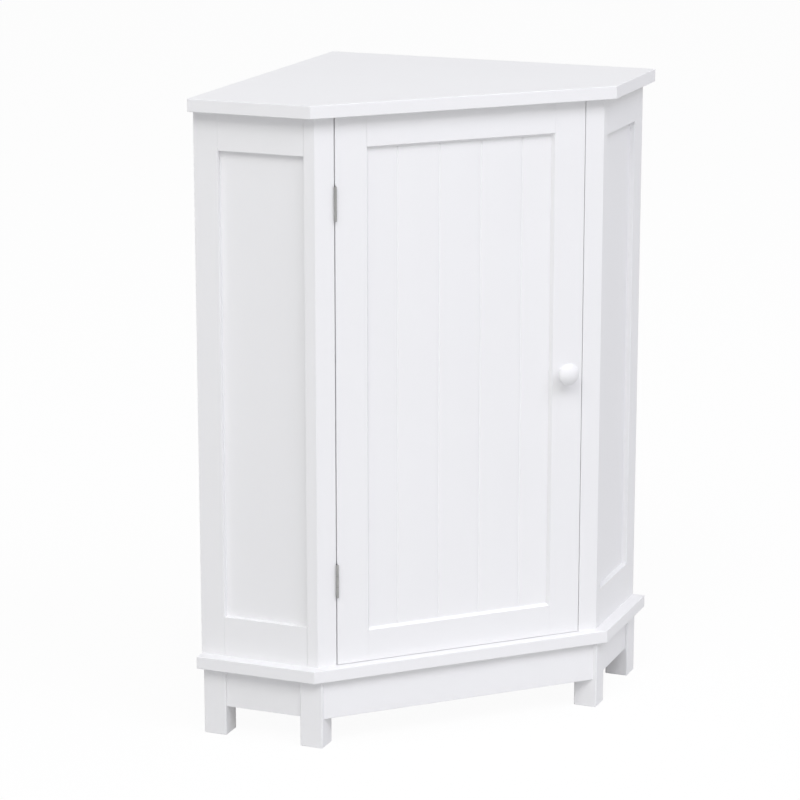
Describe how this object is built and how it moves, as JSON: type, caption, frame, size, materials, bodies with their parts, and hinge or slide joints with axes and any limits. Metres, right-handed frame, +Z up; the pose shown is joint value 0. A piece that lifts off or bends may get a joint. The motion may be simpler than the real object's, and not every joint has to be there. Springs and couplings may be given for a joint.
{
  "type": "corner storage cabinet",
  "caption": "Five-sided white corner cabinet on square legs, with a beaded frame door on butt hinges, a round knob and loose inner shelves.",
  "frame": {"origin": "on the floor, under the middle of the closed cabinet's bounding box", "axes": "+Z up, the door faces -Y and the room corner is at +Y, +X to the viewer's right"},
  "size_m": [0.6256, 0.4332, 0.8],
  "materials": {
    "white_lacquer": "satin white lacquer over fibreboard and wood",
    "back_board": "thin hardboard, white paper-faced",
    "pine_block": "raw sawn pine",
    "beech_dowel": "raw beech, fluted",
    "zinc_steel": "bright zinc plating",
    "die_cast_zinc": "raw die-cast zinc",
    "nickel_steel": "satin nickel plating",
    "white_plastic": "moulded white",
    "magnet_ferrite": "dark ferrite between steel pole plates"
  },
  "bodies": {
    "cabinet": {"top_panel": "white_lacquer", "base_panel": "white_lacquer", "left_front_post": "white_lacquer", "right_front_post": "white_lacquer", "left_rear_stile": "white_lacquer", "right_rear_stile": "white_lacquer", "left_top_rail": "white_lacquer", "right_top_rail": "white_lacquer", "left_bottom_rail": "white_lacquer", "right_bottom_rail": "white_lacquer", "left_side_panel": "white_lacquer", "right_side_panel": "white_lacquer", "rear_corner_post": "white_lacquer", "left_rear_leg": "white_lacquer", "right_rear_leg": "white_lacquer", "left_front_leg": "white_lacquer", "right_front_leg": "white_lacquer", "rear_corner_leg": "white_lacquer", "left_apron": "white_lacquer", "right_apron": "white_lacquer", "front_apron": "white_lacquer", "left_back_panel": "back_board", "right_back_panel": "back_board", "apron_glue_blocks": "pine_block", "frame_dowels": "beech_dowel", "post_dowels": "beech_dowel", "leg_dowels": "beech_dowel", "leg_screws": "zinc_steel", "back_panel_screws": "zinc_steel", "hinge_frame_screws": "zinc_steel", "catch_screws": "zinc_steel", "cam_bolts": "zinc_steel", "cam_locks": "die_cast_zinc", "upper_shelf_pins": "zinc_steel", "lower_shelf_pins": "zinc_steel", "upper_hinge_frame_leaf": "nickel_steel", "lower_hinge_frame_leaf": "nickel_steel", "upper_hinge_pin": "nickel_steel", "lower_hinge_pin": "nickel_steel", "catch_housing": "white_plastic", "catch_magnet": "magnet_ferrite"},
    "door": {"door_left_stile": "white_lacquer", "door_right_stile": "white_lacquer", "door_top_rail": "white_lacquer", "door_bottom_rail": "white_lacquer", "door_panel": "white_lacquer", "door_knob": "white_lacquer", "door_dowels": "beech_dowel", "knob_screw": "zinc_steel", "hinge_door_screws": "zinc_steel", "strike_screws": "zinc_steel", "upper_hinge_door_leaf": "nickel_steel", "lower_hinge_door_leaf": "nickel_steel", "strike_plate": "zinc_steel"},
    "upper_shelf": {"upper_shelf": "white_lacquer"},
    "lower_shelf": {"lower_shelf": "white_lacquer"}
  },
  "joints": [
    {"name": "door_hinge", "type": "hinge", "parent": "cabinet", "child": "door", "pos_m": [-0.16528, -0.19824, 0.4435], "axis": [0, 0, -1], "range_deg": [0, 160]},
    {"name": "upper_shelf_lift", "type": "slide", "parent": "cabinet", "child": "upper_shelf", "axis": [0, 0, 1], "range_m": [0, 0.03]},
    {"name": "lower_shelf_lift", "type": "slide", "parent": "cabinet", "child": "lower_shelf", "axis": [0, 0, 1], "range_m": [0, 0.03]}
  ]
}
